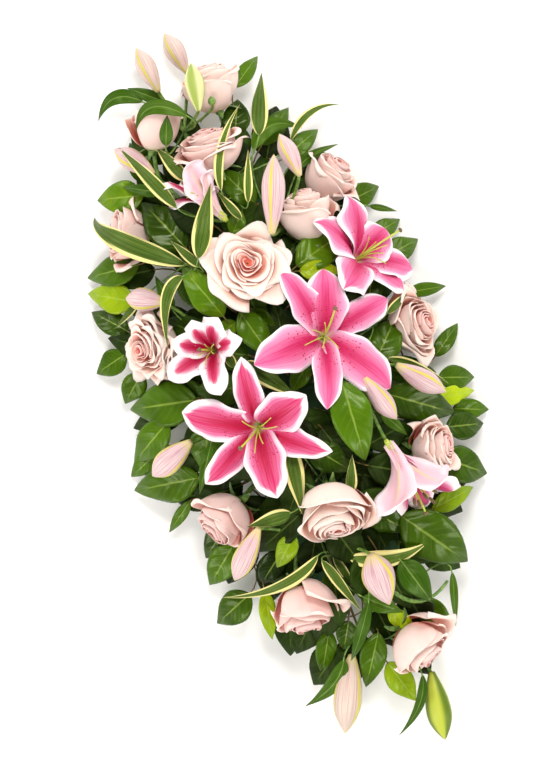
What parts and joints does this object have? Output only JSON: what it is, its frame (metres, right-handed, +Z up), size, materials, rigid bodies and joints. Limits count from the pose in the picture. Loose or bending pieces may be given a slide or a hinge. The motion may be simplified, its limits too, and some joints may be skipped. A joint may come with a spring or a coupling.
{
  "type": "double-ended funeral spray",
  "caption": "Double-ended funeral spray: blush roses, open pink lilies and lily buds over mixed foliage, in wet foam taped into a low tray.",
  "frame": {"origin": "middle of the tray's flat underside, on the surface that the spray rests on", "axes": "+X along the spray, +Y across it, +Z up, the way the central blooms face"},
  "size_m": [0.915, 0.438, 0.2036],
  "materials": {
    "tray_plastic": "smooth dark green moulded plastic",
    "anchor_tape": "green waterproof anchor tape",
    "wet_foam": "soaked floral foam, fine open grain",
    "rose_petal": "velvety cream petal blushing to peach in the folds",
    "lily_petal": "hot pink tepal with a crimson stripe, dark freckles and a white edge",
    "bud_skin": "pale pink closed tepals with yellow-green ribs, two of the buds lime green",
    "lily_green": "satin green stem and strap leaf with parallel veins",
    "variegated_leaf": "satin green leaf with cream-yellow margins",
    "salal_leaf": "glossy leathery green leaf with a pale midrib"
  },
  "bodies": {
    "root": {"tray": "tray_plastic", "anchor_tape_a": "anchor_tape", "anchor_tape_b": "anchor_tape", "wet_foam_a": "wet_foam", "wet_foam_b": "wet_foam", "rose_01": "rose_petal", "rose_02": "rose_petal", "rose_03": "rose_petal", "rose_04": "rose_petal", "rose_05": "rose_petal", "rose_06": "rose_petal", "rose_07": "rose_petal", "rose_08": "rose_petal", "rose_09": "rose_petal", "rose_10": "rose_petal", "rose_11": "rose_petal", "rose_12": "rose_petal", "rose_13": "rose_petal", "rose_14": "rose_petal", "lily_1": "lily_petal", "lily_2": "lily_petal", "lily_3": "lily_petal", "lily_4": "lily_petal", "lily_5": "lily_petal", "lily_6": "lily_petal", "bud_a": "bud_skin", "bud_b": "bud_skin", "bud_c": "bud_skin", "bud_d": "bud_skin", "bud_e": "bud_skin", "bud_f": "bud_skin", "bud_g": "bud_skin", "bud_h": "bud_skin", "bud_i": "bud_skin", "bud_j": "bud_skin", "bud_k": "bud_skin", "bud_l": "bud_skin", "bud_m": "bud_skin", "bud_n": "bud_skin", "lily_stem_a": "lily_green", "lily_stem_b": "lily_green", "lily_stem_c": "lily_green", "lily_stem_d": "lily_green", "lily_stem_e": "lily_green", "lily_stem_f": "lily_green", "lily_stem_g": "lily_green", "lily_stem_h": "lily_green", "variegated_a": "variegated_leaf", "variegated_b": "variegated_leaf", "variegated_c": "variegated_leaf", "variegated_d": "variegated_leaf", "variegated_e": "variegated_leaf", "salal_a": "salal_leaf", "salal_b": "salal_leaf", "salal_c": "salal_leaf", "salal_d": "salal_leaf", "salal_e": "salal_leaf", "salal_f": "salal_leaf", "salal_g": "salal_leaf", "salal_h": "salal_leaf"}
  },
  "joints": []
}
